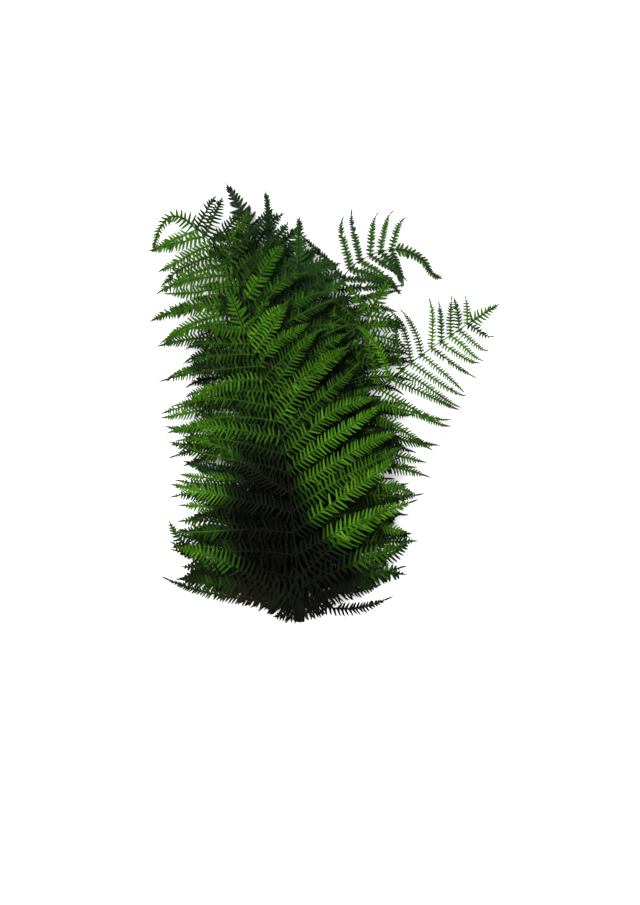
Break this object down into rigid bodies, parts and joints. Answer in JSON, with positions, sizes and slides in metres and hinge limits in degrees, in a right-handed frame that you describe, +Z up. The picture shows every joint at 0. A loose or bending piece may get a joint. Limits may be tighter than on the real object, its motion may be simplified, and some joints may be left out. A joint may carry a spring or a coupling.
{
  "type": "preserved fern bunch",
  "caption": "Cut bunch of preserved bracken fern fronds, stems gathered at one end, fine comb-like leaflets on layered arching fronds, lying flat for a vase or wreath.",
  "frame": {"origin": "on the flat underside of the lowest stem, 12 mm in from its cut end, on the table", "axes": "+Y from the cut stems towards the tips, +X to the right seen from above with the tips away, +Z up from the table"},
  "size_m": [0.4854, 0.6161, 0.0715],
  "materials": {
    "leaf_green": "soft waxy leaf, mid green, paler and greyer on its underside, with a darker rib",
    "leaf_dark": "soft waxy leaf, dark blue-green, with a nearly black rib"
  },
  "bodies": {
    "root": {"frond_front": "leaf_green", "frond_left": "leaf_green", "frond_right": "leaf_green", "frond_right_shoulder": "leaf_green", "frond_top_middle": "leaf_dark", "frond_top_dark": "leaf_dark", "frond_top_right": "leaf_dark", "frond_top_thin": "leaf_dark"}
  },
  "joints": []
}
